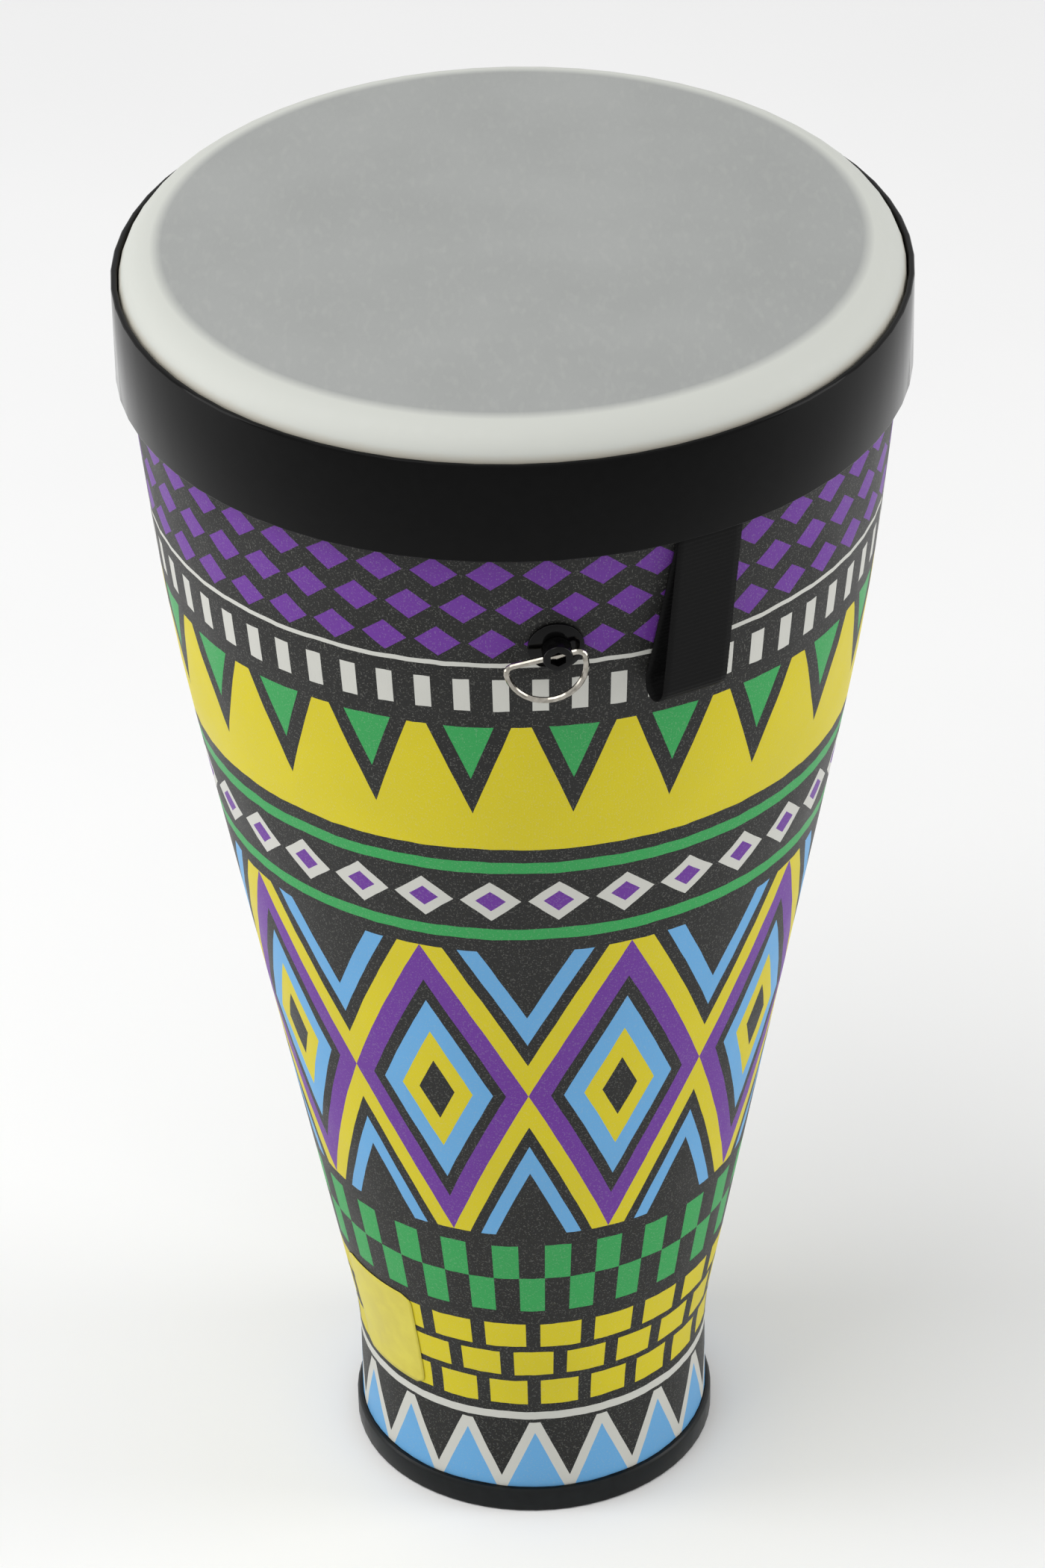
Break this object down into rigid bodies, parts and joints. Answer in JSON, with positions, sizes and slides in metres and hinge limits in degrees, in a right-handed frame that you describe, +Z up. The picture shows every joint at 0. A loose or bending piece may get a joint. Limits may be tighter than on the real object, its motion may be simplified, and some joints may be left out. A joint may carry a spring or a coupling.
{
  "type": "timbal drum",
  "caption": "Tapered hand drum with a pre-tuned head, printed shell, foot ring, strap ring and webbing loop, played standing or on a strap",
  "frame": {"origin": "centre of the foot on the floor", "axes": "+Z up along the drum's axis, -Y to the front, which the strap lug faces, +X to the right as seen from the front"},
  "size_m": [0.27, 0.27, 0.497],
  "materials": {
    "shell": "raw fibreboard",
    "printed_wrap": "printed, under clear film",
    "bearing_ring": "matte",
    "drumhead": "fibre-textured coat",
    "hoop": "gloss",
    "foot_ring": "semi-matte",
    "lug_rosette": "gloss black",
    "lug_screw": "black",
    "lug_inner_washer": "zinc",
    "lug_nut": "zinc",
    "d_ring": "nickel",
    "webbing_loop": "ribbed",
    "webbing_tails": "ribbed",
    "webbing_tack_1": "zinc",
    "webbing_tack_2": "zinc"
  },
  "bodies": {
    "drum": {"shell": "shell", "printed_wrap": "printed_wrap", "bearing_ring": "bearing_ring", "drumhead": "drumhead", "hoop": "hoop", "foot_ring": "foot_ring", "lug_rosette": "lug_rosette", "lug_screw": "lug_screw", "lug_inner_washer": "lug_inner_washer", "lug_nut": "lug_nut", "webbing_tails": "webbing_tails", "webbing_tack_1": "webbing_tack_1", "webbing_tack_2": "webbing_tack_2"},
    "d_ring": {"d_ring": "d_ring"},
    "webbing_loop": {"webbing_loop": "webbing_loop"}
  },
  "joints": [
    {"name": "d_ring_hinge", "type": "hinge", "parent": "drum", "child": "d_ring", "pos_m": [0.01225, -0.132, 0.41343], "axis": [-0.9759, -0.0692, -0.2068], "range_deg": [-18, 150]},
    {"name": "webbing_hinge", "type": "hinge", "parent": "drum", "child": "webbing_loop", "pos_m": [0.06228, -0.11614, 0.44935], "axis": [-0.8813, -0.4726, 0], "range_deg": [0, 75]}
  ]
}
